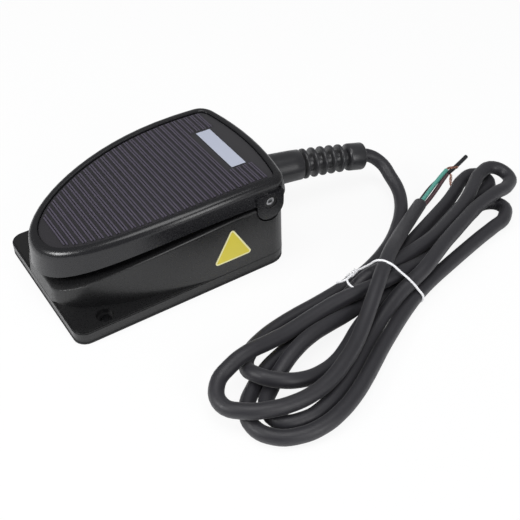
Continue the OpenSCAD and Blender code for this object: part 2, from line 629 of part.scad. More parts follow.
module switch_lever() color([0.82, 0.82, 0.84]) {
    reach = lever_l / cos(lever_a);
    translate([0, yy(pivot_s), pivot_z]) rotate([-lever_a, 0, 0]) {
        translate([-2.2, 3.2 - reach, -lever_t / 2]) cube([4.4, reach - 3.2, lever_t]);
        for (x = [-1, 1]) translate([x * 2.3 - 0.35, -reach - 1.6, -1.3]) cube([0.7, 5.6, 2.6]);
    }
    translate([0, yy(pivot_s), pivot_z]) rotate([0, 90, 0]) cylinder(d = 1.5, h = switch_t - 0.4, center = true);
}
module lever_roller() color([0.9, 0.9, 0.86]) translate([0, yy(roller_s), roller_z]) rotate([0, 90, 0])
    difference() {
        cylinder(d = roller_d, h = 3.6, center = true);
        cylinder(d = 1.6, h = 9, center = true);
    }
module roller_pin() color([0.7, 0.7, 0.72]) translate([0, yy(roller_s), roller_z]) rotate([0, 90, 0])
    cylinder(d = 1.5, h = 5.6, center = true);

// ------------------------------------------------------------------ cable entry

module cable_clamp() color([0.22, 0.22, 0.23]) difference() {
    translate([-12, yy(clamp_s) - 3, clamp_z + seat]) cube([24, 6, boot_z + 6 - clamp_z]);
    translate([0, yy(clamp_s), boot_z]) rotate([90, 0, 0]) cylinder(d = cord_d, h = 9, center = true);
    at(clamp_at) cylinder(d = 3.2, h = 50);
    at(clamp_at, boot_z - 1) translate([-3, -4, 0]) cube([6, 8, 20]);
}
module clamp_screws() color([0.7, 0.7, 0.72]) at(clamp_at, boot_z - 1 + seat) difference() {
        union() {
            cylinder(d = 5.5, h = 2);
            translate([0, 0, -13.5]) cylinder(d = 2.46, h = 14.5);
        }
        translate([-0.35, -2, 1.2]) cube([0.7, 4, 2]);
    }

stub_s0 = base_l - 31.4;           // where the sheath is stripped inside the case
boot_in = base_l - 12;
module inner_sheath() color([0.13, 0.13, 0.14])
    translate([0, yy(stub_s0), boot_z]) rotate([-90, 0, 0]) cylinder(d = cord_d - 0.04, h = boot_in - stub_s0 - seat);

module inner_cores() for (i = [0 : 2]) color([[0.15, 0.5, 0.35], [0.12, 0.12, 0.12], [0.6, 0.1, 0.08]][i]) {
    x = (i - 1) * 2.8;
    s = terminals_s[i];
    sweep(spline(place([[x, stub_s0 + 0.8, boot_z], [x * 1.6, stub_s0 - 7, boot_z - 2], [-6 + x * 1.5, stub_s0 - 15, 15], [-9 + x * 1.2, s + 5, 11.4],
        [-6, s, 12], [-2.8, s, 13.4]]), 3), 0.95, 6);
}

// boot: root cone, discs on a slimmer core, and end collar, on an axis that sags a little
boot_axis = place([[0, base_l + 0.3, boot_z], [1.01, base_l + 11.53, boot_z - 0.1],
    [3.1, base_l + 23.39, boot_z - 0.44], [5.12, base_l + 33.44, boot_z - 0.96],
    [8.09, base_l + 47.79, boot_z - 2.12], [10.65, base_l + 59.99, boot_z - 3.55],
    [12.17, base_l + 67.26, boot_z - 4.62], [13.8, base_l + 75.02, boot_z - 5.96]]);
boot_path = spline(boot_axis, 4);
root_n = 12;                      // places along the path that the root cone takes
collar_n = 22;
boot_core_d = 11.4;
collar_d = 16.6;
module at_path(i) {
    d = unit(boot_path[i + 1] - boot_path[i]);
    translate(boot_path[i]) rotate([0, acos(d[2]), atan2(d[1], d[0])]) children();
}
module cord_boot() color([0.13, 0.13, 0.14]) {
    translate([0, yy(boot_in), boot_z]) rotate([-90, 0, 0]) cylinder(d = boot_hole_d - 0.04, h = 12.6);
    sweep([for (i = [0 : root_n]) boot_path[i]], boot_d / 2 - 0.6, 24);
    sweep([for (i = [root_n : collar_n + 1]) boot_path[i]], boot_core_d / 2, 16);
    for (k = [0 : boot_discs - 1]) let (f = root_n + 1 + k * (collar_n - root_n - 2) / (boot_discs - 1), i = floor(f))
        at_path(i) cylinder(d = boot_d - 1.6 - 0.4 * k, h = 2.6, center = true);
    sweep([for (i = [collar_n : 28]) boot_path[i]], collar_d / 2, 20);
}

// ------------------------------------------------------------------ cord

lead_route = place([[13.8, base_l + 75.02, boot_z - 5.96], [20.3, 215.77, 14.8], [30.44, 215.98, 10.2], [39.85, 214.2, 7.2],
    [48.21, 209.87, 5.2], [56.47, 202.79, 4.3], [64.1, 194.05, 4], [71.3, 184.35, 4], [79.5, 168, 4]]);
module cord_lead() color([0.13, 0.13, 0.14]) sweep(spline(lead_route, 3), cord_d / 2 - 0.02, 12);

// the tied hank as one closed solid: a waist at the tie, loops towards the toe and loops towards the rear
hank_h = 24;
hank_front = [[86, 150, 8], [114, 160, 8], [96, 84, 8], [108, 55, 12], [122, 45, 12.5], [146.5, 52, 15.2], [141, 82, 13], [125, 120, 12]];
hank_back = [[86, 150, 8], [116, 160, 8], [72, 205, 8], [62, 266, 8], [61, 284, 7.4], [76, 264, 12], [96, 214, 10]];
module lobe(places) for (i = [1 : len(places) - 1]) hull() for (p = [places[i], places[i % (len(places) - 1) + 1],
    places[0]]) translate([p[0], yy(p[1])]) circle(p[2]);
module cord_hank() color([0.14, 0.14, 0.15]) linear_extrude(hank_h) {
    lobe(hank_front);
    lobe(hank_back);
}
tail_route = place([[84, 176, 14], [78, 186, 14], [70, 198, 12], [63, 209, 9.6], [55.9, 218.2, 4.6]]);
module cord_tail() color([0.13, 0.13, 0.14]) sweep(spline(tail_route, 3), cord_d / 2 - 0.02, 12);

module core_green() color([0.2, 0.5, 0.42])
    sweep(spline(place([[54, 220, 3], [50, 232, 2.6], [45, 243, 3], [39.5, 254, 3.4]]), 3), core_d / 2, 8);
module core_black() color([0.12, 0.12, 0.12])
    sweep(spline(place([[57, 220.6, 3], [54, 232, 2.4], [48, 246, 3], [43, 258, 4], [38, 268, 5], [34, 276, 5]]), 3),
        core_d / 2, 8);
module core_red() color([0.45, 0.2, 0.2])
    sweep(spline(place([[55.5, 220.3, 5.4], [52, 232, 5.2], [47, 244, 5], [43, 253, 5]]), 3), core_d / 2, 8);
module copper_strands() color([0.8, 0.5, 0.35])
    sweep(spline(place([[43, 253.2, 5], [41, 259, 5], [46, 254, 4], [50, 250, 3], [53, 248.6, 1.4]]), 3), 0.7, 6);

// the wire tie round the waist of the hank
tie_w = 44;
module hank_tie() color([0.93, 0.93, 0.93]) translate([100, yy(152), 0]) rotate(38) difference() {
    translate([-tie_w / 2 - 1, -1, 0.02]) cube([tie_w + 2, 2, hank_h + 1]);
    translate([-tie_w / 2, -2, -1]) cube([tie_w, 4, hank_h + 1.1]);
}

case();
bottom_plate();
foot_pad();
plate_seal();
plate_screws();
mount_sleeves();
hinge_pin();
switch_bracket();
bracket_screws();
switch_body();
switch_screws();
switch_terminals();
switch_plunger();
switch_lever();
lever_roller();
roller_pin();
return_spring();
spring_guide();
stop_bumpers();
cable_clamp();
clamp_screws();
inner_sheath();
inner_cores();
cord_boot();
warning_triangle();
pedal_shell();
tread_mat();
rating_label();
hinge_bushes();
spring_cup();
striker();
cord_lead();
cord_hank();
cord_tail();
core_green();
core_black();
core_red();
copper_strands();
hank_tie();
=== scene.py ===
"""Industrial foot switch: the looks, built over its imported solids.

Each class below is one sub-assembly of the foot switch, with its sizes as
fields and methods that build its pieces and dress them. Sizes are in
millimetres and become metres where a mesh is made.
"""

from __future__ import annotations

import logging
import math
from dataclasses import dataclass, field
from enum import Enum

import bmesh
import bpy
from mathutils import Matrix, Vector


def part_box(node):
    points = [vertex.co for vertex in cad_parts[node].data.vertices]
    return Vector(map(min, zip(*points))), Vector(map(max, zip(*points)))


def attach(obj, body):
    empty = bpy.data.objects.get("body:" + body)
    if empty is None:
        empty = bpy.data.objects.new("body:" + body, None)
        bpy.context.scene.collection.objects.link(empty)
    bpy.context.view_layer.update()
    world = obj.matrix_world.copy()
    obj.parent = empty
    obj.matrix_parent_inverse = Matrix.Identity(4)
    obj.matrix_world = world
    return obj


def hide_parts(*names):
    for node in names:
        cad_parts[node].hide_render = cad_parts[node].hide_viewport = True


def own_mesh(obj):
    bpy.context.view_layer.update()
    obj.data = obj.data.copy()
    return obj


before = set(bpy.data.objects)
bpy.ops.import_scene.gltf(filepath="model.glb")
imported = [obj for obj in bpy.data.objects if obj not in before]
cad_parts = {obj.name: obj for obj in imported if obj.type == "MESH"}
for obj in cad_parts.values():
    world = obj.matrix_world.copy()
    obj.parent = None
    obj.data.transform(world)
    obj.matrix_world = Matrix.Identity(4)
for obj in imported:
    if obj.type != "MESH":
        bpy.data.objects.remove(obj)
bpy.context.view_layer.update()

LOG = logging.getLogger("foot_switch")
MM = 0.001
CREST = "crest"
FIRST, SECOND = 0, 1                    # inputs of a Math node
MIX_SHARE, MIX_A, MIX_B = 0, 6, 7       # inputs of a Mix node for colours
MIX_RESULT = 2                          # its output
SHADER_A, SHADER_B = 1, 2               # inputs of a MixShader node
Point = tuple[float, float, float]
Ring = tuple[float, float]

# The lead's centre line from the end of its boot to the cut end of the sheath, in mm.
LEAD_ROUTE: tuple[Point, ...] = (
    (13.8, 141.8, 19), (20.3, 148.1, 14.8), (30.4, 148.3, 10.2), (39.8, 146.6, 7.2), (48.2, 142.2, 5.2),
    (56.5, 135.1, 4.3), (64.1, 126.4, 4), (71.3, 116.7, 4), (77.1, 106.2, 4), (81.8, 95.1, 4),
    (85.3, 83.6, 4), (87.6, 71.8, 4), (89.2, 59.9, 4), (90.3, 47.9, 4), (91.1, 35.9, 4),
    (92.5, 23.9, 4), (95.2, 12.2, 4.3), (100.3, 1.4, 5.3), (109, -6.5, 7.2), (119.5, -7.3, 11.8),
    (128.3, 0.5, 11.3), (132, 11.5, 8.7), (131.7, 23.3, 6.3), (128.4, 34.7, 4.6), (123.1, 45.5, 4),
    (117.1, 55.9, 4), (112, 66.8, 4), (107.9, 78.1, 4), (103, 89.1, 4), (97.4, 99.8, 4),
    (92.6, 110.8, 4), (88.3, 122, 4), (84.1, 133.3, 4), (79.8, 144.6, 4), (75.6, 155.8, 4),
    (71.4, 167.1, 4), (68.3, 178.7, 4), (66.7, 190.6, 4), (61.7, 201.3, 4), (51.1, 199.5, 4),
    (51.8, 187.9, 4), (57.4, 177.3, 4), (62.7, 166.5, 4), (67.2, 155.3, 4), (71.5, 144.1, 4),
    (75.8, 132.8, 4), (80.1, 121.6, 4), (84.4, 110.3, 4), (89, 99.2, 4), (94.3, 88.4, 4),
    (99.5, 77.6, 4), (103.9, 66.4, 4.7), (107, 55, 6.7), (109.2, 43.3, 8.7), (111.2, 31.5, 9.7),
    (114.3, 19.9, 9.2), (118.7, 8.9, 7.3), (124.3, -1.4, 4.4), (132.3, -10.1, 4), (143.8, -10.3, 4),
    (149, 0.2, 4), (148.2, 12.1, 4), (144.4, 23.5, 4), (139.1, 34.3, 4), (132.9, 44.6, 4),
    (126.7, 55, 4.1), (121, 65.5, 5.3), (116.2, 76.3, 7.3), (112.2, 87.5, 9.4), (109.5, 99, 11.4),
    (106.4, 110.5, 13), (101.7, 121.6, 13.3), (96.9, 132.6, 13.2), (92.5, 143.8, 13.1),
    (88.3, 155.1, 13), (84.1, 166.3, 12.6), (80.9, 177.9, 12.2), (78.6, 189.7, 11.8),
    (75.9, 201.2, 9.7), (68.5, 210.3, 8.9), (58.5, 206.3, 11.2), (59.3, 194.7, 11.8),
    (65.1, 184.2, 11.7), (71.4, 174, 11.7), (76.8, 163.2, 11.1), (81.2, 152, 11), (85.4, 140.7, 11.1),
    (88.9, 129.2, 11.5), (91.3, 117.5, 11.9), (92.7, 105.5, 11.6), (93.6, 93.6, 11.5),
    (93.5, 81.6, 11.1), (95, 70.2, 7.7), (97.9, 58.9, 4.6), (101.3, 47.4, 4), (104.3, 35.7, 4),
    (107, 24, 4), (109.9, 12.3, 4), (114, 1, 4), (120.1, -9.3, 4), (128, -18.3, 4), (139.2, -22.3, 4),
    (149.7, -17.2, 4), (155.6, -6.8, 4.2), (157.2, 5.1, 4.6), (155.2, 16.9, 4.8), (151, 28.2, 4.7),
    (145.5, 38.9, 4.5), (139.4, 49.2, 4.2), (133.2, 59.6, 4), (127.5, 70.2, 4), (122, 80.9, 4),
    (116.9, 91.8, 4), (112.4, 102.9, 4), (108.8, 114.4, 4), (105.8, 126.1, 4), (102.9, 137.8, 4),
    (100.1, 149.4, 4), (97.4, 161.2, 4), (95, 173, 4), (92, 184.6, 4), (83, 191.4, 4), (75.8, 183.1, 4),
    (78.5, 171.4, 4), (82.5, 160.1, 4), (86.8, 148.8, 4), (90.9, 137.6, 4.4), (95, 126.3, 5.6),
    (98.5, 115, 7.6), (100.8, 103.5, 10.3), (101.9, 91.6, 11.9), (101.8, 79.6, 11.6),
    (101.5, 67.6, 12.3), (101.1, 55.6, 12.3), (101.8, 43.6, 11.9), (103.3, 31.6, 11.7),
    (104.9, 19.7, 12), (106.2, 7.8, 13.3), (107.4, -4.1, 14.9), (109.6, -15.7, 14.1),
    (114.5, -26.4, 11.9), (125.1, -30.4, 10.7), (134.9, -23.9, 11.7), (140.6, -13.4, 11.9),
    (143, -1.7, 11.1), (142.8, 10.3, 10.5), (140.3, 22.1, 10.7), (135.7, 33.2, 11.3), (130, 43.8, 11.6),
    (123.3, 53.7, 12.6), (116.3, 63.3, 14.7), (109.4, 72.7, 17.4), (102.3, 82.2, 19.5),
    (95, 91.8, 19.4), (88, 101.3, 17.5), (81.3, 110.9, 14.4), (74.8, 120.5, 11.5), (68.5, 130.5, 9.2),
    (62.1, 140.5, 6.8), (55.9, 150.5, 4.6),
)

# Rings of the boot, each a radius and a place along it in mm. The barrel starts inside the wall.
BOOT_BARREL: tuple[Ring, ...] = (
    (7.4, -12.3), (7.4, -0.8), (8.6, -0.8), (9.9, -0.3), (10.0, 1.2), (9.7, 14.0), (9.3, 28.0),
    (9.1, 33.4), (8.6, 34.0))
# The collar's places count from where one more disc would stand.
BOOT_COLLAR: tuple[Ring, ...] = (
    (4.9, -2.6), (4.9, -1.7), (7.6, -0.9), (8.1, -0.3), (8.3, 0.6), (8.3, 9.4), (8.1, 10.2),
    (7.5, 10.7), (5.0, 10.8), (4.3, 10.5), (4.1, 10.1))

# The stripped cores and the two tufts of bare copper, from the sheath's cut end outwards, in mm.
GREEN_CORE: tuple[Point, ...] = (
    (58.5, 147.2, 6.2), (56.0, 151.4, 6.2), (53.1, 158.0, 7.0), (49.6, 166.0, 8.0),
    (45.6, 175.0, 8.4), (42.2, 183.2, 8.6))
MAROON_CORE: tuple[Point, ...] = (
    (59.6, 147.6, 3.6), (57.4, 152.2, 3.6), (54.3, 160.0, 4.2), (50.6, 168.4, 5.2),
    (46.8, 176.4, 6.2), (43.9, 182.6, 6.6))
BLACK_CORE: tuple[Point, ...] = (
    (57.2, 146.6, 3.8), (54.4, 150.8, 4.0), (50.6, 158.8, 5.0), (47.2, 167.6, 6.0),
    (44.4, 177.2, 6.2), (42.9, 186.6, 7.2), (41.2, 194.8, 8.6), (38.9, 202.7, 9.4))
COPPER_TUFTS: tuple[tuple[Point, ...], ...] = (
    ((42.2, 182.6, 8.6), (41.6, 185.4, 8.9), (42.4, 188.6, 8.8), (43.4, 191.4, 8.4)),
    ((43.9, 182.0, 6.6), (43.6, 184.6, 6.6), (45.2, 184.8, 5.6), (47.7, 182.6, 4.4),
     (50.4, 181.0, 2.8), (53.4, 181.2, 1.4)))

# The wire tie: its loop round the hank's waist, and where each twisted end runs out, in mm.
TIE_LOOP: tuple[Point, ...] = (
    (96.7, 84.2, 23.4), (92.7, 81.5, 18.4), (88.7, 78.7, 13.4), (84.6, 76.0, 8.5),
    (82.8, 74.8, 3.2), (87.5, 78.0, 1.3), (93.3, 81.8, 1.3), (99.0, 85.7, 1.3),
    (104.7, 89.6, 1.3), (110.4, 93.4, 1.3), (116.1, 97.3, 1.3), (118.6, 99.0, 5.3),
    (115.5, 96.9, 11.0), (111.4, 94.1, 15.8), (106.7, 90.9, 19.8), (101.9, 87.7, 23.4))
TIE_TAILS: tuple[tuple[Point, ...], ...] = (
    ((93.4, 63.6, 16.4), (93.2, 59.6, 17.2)),
    ((95.6, 65.4, 16.0), (102.0, 66.0, 15.6)))


class Body(Enum):
    """The bodies that new pieces ride on."""

    CASE = "case"
    PEDAL = "pedal"


# ---------------------------------------------------------------- small helpers


def linear(code: str) -> tuple[float, float, float, float]:
    """Turns an sRGB hex code into a linear colour.

    Args:
        code: The colour as six hex digits.

    Returns:
        Linear red, green, blue and an alpha of 1.
    """
    parts = [int(code[i:i + 2], 16) / 255 for i in (0, 2, 4)]
    low = [p / 12.92 if p <= 0.04045 else ((p + 0.055) / 1.055) ** 2.4 for p in parts]
    return (low[0], low[1], low[2], 1.0)


def metres(point: Point) -> Vector:
    """Returns a point in mm as a vector in metres."""
    return Vector(point) * MM


def deselect() -> None:
    """Leaves edit mode and deselects every object."""
    if bpy.context.object is not None and bpy.context.object.mode != "OBJECT":
        bpy.ops.object.mode_set(mode="OBJECT")
    bpy.ops.object.select_all(action="DESELECT")


def pick(obj: bpy.types.Object) -> None:
    """Makes an object the only selected one and the active one.

    Args:
        obj: The object.
    """
    deselect()
    obj.select_set(True)
    bpy.context.view_layer.objects.active = obj


def add_node(tree: bpy.types.NodeTree, kind: str,
             settings: dict[str | int, object] | None = None,
             links: dict[str | int, bpy.types.NodeSocket] | None = None) -> bpy.types.Node:
    """Adds a shader node with its settings and links.

    Args:
        tree: The material's node tree.
        kind: The node's type name, without the ShaderNode prefix.
        settings: Attribute names, or input names or numbers, and their values.
        links: Input names or numbers and the output sockets that feed them.

    Returns:
        The new node.
    """
    node = tree.nodes.new("ShaderNode" + kind)
    for key, value in (settings or {}).items():
        if isinstance(key, str) and hasattr(node, key):
            setattr(node, key, value)
        else:
            node.inputs[key].default_value = value
    for key, socket in (links or {}).items():
        tree.links.new(socket, node.inputs[key])
    return node


def apply_modifier(obj: bpy.types.Object, kind: str, **settings: object) -> None:
    """Adds a modifier to an object, sets it and applies it.

    Args:
        obj: The object.
        kind: The modifier's type.
        **settings: The modifier's properties.
    """
    pick(obj)
    modifier = obj.modifiers.new(kind.title(), kind)
    for key, value in settings.items():
        setattr(modifier, key, value)
    bpy.ops.object.modifier_apply(modifier=modifier.name)


def smooth(obj: bpy.types.Object, degrees: float = 32.0) -> None:
    """Shades an object smooth, with edges sharper than the angle left crisp."""
    pick(obj)
    bpy.ops.object.shade_smooth_by_angle(angle=math.radians(degrees))


def softened_copy(node: str, name: str, edge: float, angle: float = 32.0,
                  segments: int = 2) -> bpy.types.Object:
    """Copies a solid, welds it and softens its moulded edges.

    Args:
        node: The solid's name.
        name: The new piece's name.
        edge: Width of the softened edges in mm, or 0 for none.
        angle: Edges sharper than this many degrees are softened.
        segments: Rings of faces across a softened edge.

    Returns:
        The new piece, which stands for the solid.
    """
    piece = bpy.data.objects.new(name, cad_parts[node].data.copy())
    bpy.context.scene.collection.objects.link(piece)
    piece.data.materials.clear()
    pick(piece)
    bpy.ops.object.mode_set(mode="EDIT")
    bpy.ops.mesh.select_all(action="SELECT")
    bpy.ops.mesh.remove_doubles(threshold=0.000004)
    bpy.ops.mesh.dissolve_limited(angle_limit=math.radians(0.6))
    bpy.ops.object.mode_set(mode="OBJECT")
    if edge > 0:
        apply_modifier(piece, "BEVEL", width=edge * MM, segments=segments, limit_method="ANGLE",
                       angle_limit=math.radians(angle), use_clamp_overlap=True, profile=0.5)
    smooth(piece, angle)
    apply_modifier(piece, "WEIGHTED_NORMAL", keep_sharp=True, weight=80)
    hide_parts(node)
    return piece


def turned(name: str, profile: list[tuple[float, float]], sides: int) -> bpy.types.Object:
    """Turns a closed piece about the Z axis, ring by ring.

    Args:
        name: The piece's name.
        profile: Radius and height of each ring in mm, from the bottom up.
        sides: Points in each ring.

    Returns:
        The piece, standing on the Z axis.
    """
    deselect()
    radius, height = profile[0]
    bpy.ops.mesh.primitive_circle_add(vertices=sides, radius=radius * MM, fill_type="NGON",
                                      location=(0, 0, height * MM))
    piece = bpy.context.object
    piece.name = name
    pick(piece)
    bpy.ops.object.transform_apply(location=True, rotation=False, scale=False)
    bpy.ops.object.mode_set(mode="EDIT")
    bpy.ops.mesh.select_all(action="SELECT")
    for next_radius, next_height in profile[1:]:
        step = (next_height - height) * MM
        bpy.ops.mesh.extrude_region_move(TRANSFORM_OT_translate={"value": (0, 0, step)})
        scale = next_radius / radius
        bpy.ops.transform.resize(value=(scale, scale, 1.0),
                                 center_override=(0, 0, next_height * MM))
        radius, height = next_radius, next_height
    bpy.ops.mesh.select_all(action="SELECT")
    bpy.ops.mesh.normals_make_consistent(inside=False)
    bpy.ops.object.mode_set(mode="OBJECT")
    return piece


def smooth_line(points: list[Vector], steps: int) -> list[Vector]:
    """Works out a smooth line through points.

    Args:
        points: The points, in metres.
        steps: Places on the line for each gap between points.

    Returns:
        The places on the line, in metres.
    """
    line: list[Vector] = []
    last = len(points) - 1
    for i in range(last):
        a, b = points[max(i - 1, 0)], points[i]
        c, d = points[i + 1], points[min(i + 2, last)]
        for k in range(steps):
            t = k / steps
            line.append(0.5 * (2 * b + (c - a) * t + (2 * a - 5 * b + 4 * c - d) * t * t
                               + (3 * b - a - 3 * c + d) * t ** 3))
    line.append(points[-1])
    return line


def strand(name: str, runs: list[list[Vector]], radius: float, sides: int,
           cyclic: bool = False) -> bpy.types.Object:
    """Makes a round strand, or several, along smooth runs.

    Args:
        name: The piece's name.
        runs: The points of each run, in metres.
        radius: The strand's radius in mm.
        sides: Bevel resolution of the round section.
        cyclic: Whether each run closes on itself.

    Returns:
        A curve object.
    """
    curve = bpy.data.curves.new(name, "CURVE")
    curve.dimensions = "3D"
    curve.resolution_u = 5
    curve.bevel_depth = radius * MM
    curve.bevel_resolution = sides
    curve.use_fill_caps = True
    for run in runs:
        spline = curve.splines.new("BEZIER")
        spline.bezier_points.add(len(run) - 1)
        for knot, place in zip(spline.bezier_points, run):
            knot.co = place
            knot.handle_left_type = knot.handle_right_type = "AUTO"
        spline.use_cyclic_u = cyclic
    piece = bpy.data.objects.new(name, curve)
    bpy.context.scene.collection.objects.link(piece)
    return piece


# ---------------------------------------------------------------- finishes


@dataclass(frozen=True)
class Finish:
    """A surface: its colour, gloss, fine grain and slow unevenness."""

    name: str
    colour: str
    roughness: float
    ior: float = 1.5
    metallic: float = 0.0
    grain: float = 0.6          # mm between bumps, as coarse as shows
    depth: float = 0.02         # mm, height of the bumps
    drift: float = 0.12         # share by which the colour drifts
    stretch: Point = (1.0, 1.0, 1.0)

    def material(self) -> bpy.types.Material:
        """Builds the material, or returns the one already built."""
        known = bpy.data.materials.get(self.name)
        if known is not None:
            return known
        material = bpy.data.materials.new(self.name)
        material.use_nodes = True
        tree = material.node_tree
        tree.nodes.clear()
        where = add_node(tree, "TexCoord")
        turned_to = add_node(tree, "Mapping", {"Scale": self.stretch},
                             {"Vector": where.outputs["Object"]})
        slow = add_node(tree, "TexNoise", {"Scale": 38.0, "Detail": 3.0, "Roughness": 0.55},
                        {"Vector": where.outputs["Object"]})
        grain = add_node(tree, "TexNoise", {"Scale": 1.0 / (self.grain * MM), "Detail": 2.0,
                                            "Roughness": 0.6}, {"Vector": turned_to.outputs["Vector"]})
        red, green, blue, _ = linear(self.colour)
        dark = (red * (1 - self.drift), green * (1 - self.drift), blue * (1 - self.drift), 1.0)
        light = (red * (1 + self.drift), green * (1 + self.drift), blue * (1 + self.drift), 1.0)
        tint = add_node(tree, "Mix", {"data_type": "RGBA", MIX_A: dark, MIX_B: light},
                        {MIX_SHARE: slow.outputs["Fac"]})
        gloss = add_node(tree, "MapRange", {"From Min": 0.3, "From Max": 0.7,
                                            "To Min": max(0.03, self.roughness - 0.05),
                                            "To Max": min(1.0, self.roughness + 0.05)},
                         {"Value": grain.outputs["Fac"]})
        bump = add_node(tree, "Bump", {"Strength": 0.35, "Distance": self.depth * MM},
                        {"Height": grain.outputs["Fac"]})
        shader = add_node(tree, "BsdfPrincipled", {"Metallic": self.metallic, "IOR": self.ior},
                          {"Base Color": tint.outputs[MIX_RESULT], "Roughness": gloss.outputs["Result"],
                           "Normal": bump.outputs["Normal"]})
        self.extra(tree, shader, where)
        add_node(tree, "OutputMaterial", {}, {"Surface": shader.outputs["BSDF"]})
        return material

    def extra(self, tree: bpy.types.NodeTree, shader: bpy.types.Node,
              where: bpy.types.Node) -> None:
        """Adds what only this kind of finish has; the plain finish adds nothing."""


@dataclass(frozen=True)
class SoftSheen(Finish):
    """A rubber or vinyl whose edges catch a faint, wide sheen."""

    sheen: float = 0.15

    def extra(self, tree: bpy.types.NodeTree, shader: bpy.types.Node,
              where: bpy.types.Node) -> None:
        """Sets the sheen on the shader's own sockets."""
        shader.inputs["Sheen Weight"].default_value = self.sheen
        shader.inputs["Sheen Roughness"].default_value = 0.5


@dataclass(frozen=True)
class CrestHighlightRubber(SoftSheen):
    """A ribbed rubber whose crests, marked in the mesh, are painted paler as a painted highlight."""

    # colour of the painted highlight on the ridge crests
    crest_highlight: str = "4a4354"

    def extra(self, tree: bpy.types.NodeTree, shader: bpy.types.Node,
              where: bpy.types.Node) -> None:
        """Mixes the paler painted highlight colour in on the crests, in patches.

        Args:
            tree: The material's node tree.
            shader: The node that the colour feeds.
            where: The texture coordinates.
        """
        super().extra(tree, shader, where)
        # painted highlight: the crests, in patches, take the paler colour
        crest = add_node(tree, "Attribute", {"attribute_name": CREST})
        patchy = add_node(tree, "TexNoise", {"Scale": 900.0, "Detail": 3.0},
                          {"Vector": where.outputs["Object"]})
        share = add_node(tree, "MapRange", {"From Min": 0.25, "From Max": 0.7, "To Min": 0.6,
                                            "To Max": 1.0}, {"Value": patchy.outputs["Fac"]})
        amount = add_node(tree, "Math", {"operation": "MULTIPLY"},
                          {FIRST: crest.outputs["Fac"], SECOND: share.outputs["Result"]})
        mixed = add_node(tree, "Mix", {"data_type": "RGBA", MIX_B: linear(self.crest_highlight)},
                         {MIX_A: shader.inputs["Base Color"].links[0].from_socket,
                          MIX_SHARE: amount.outputs[0]})
        tree.links.new(mixed.outputs[MIX_RESULT], shader.inputs["Base Color"])


